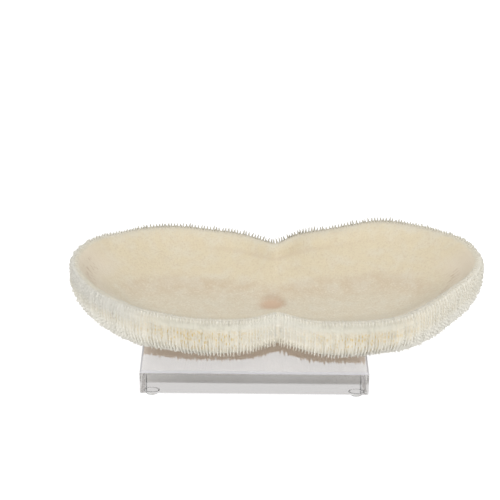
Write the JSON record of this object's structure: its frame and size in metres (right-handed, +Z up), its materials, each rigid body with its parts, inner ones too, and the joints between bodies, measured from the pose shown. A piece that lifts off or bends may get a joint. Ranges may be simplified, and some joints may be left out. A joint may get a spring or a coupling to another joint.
{
  "type": "peanut coral on a clear stand",
  "caption": "Two-lobed mushroom coral shown hollow side up, ringed with toothed septa, resting on a bevelled clear acrylic block with bumper feet.",
  "frame": {"origin": "on the table, under the middle of the whole piece's bounding box", "axes": "+X along the coral from its left lobe to its right lobe, +Y away from the viewer, +Z up out of the hollow"},
  "size_m": [0.3384, 0.196, 0.0791],
  "materials": {
    "coral": "dry, matt and finely granular, chalk white on the septa and cream in the hollow",
    "acrylic": "clear, polished",
    "bumper": "clear, glossy"
  },
  "bodies": {
    "root": {"coral": "coral", "acrylic_block": "acrylic", "foot_front_left": "bumper", "foot_front_right": "bumper", "foot_back_left": "bumper", "foot_back_right": "bumper"}
  },
  "joints": []
}
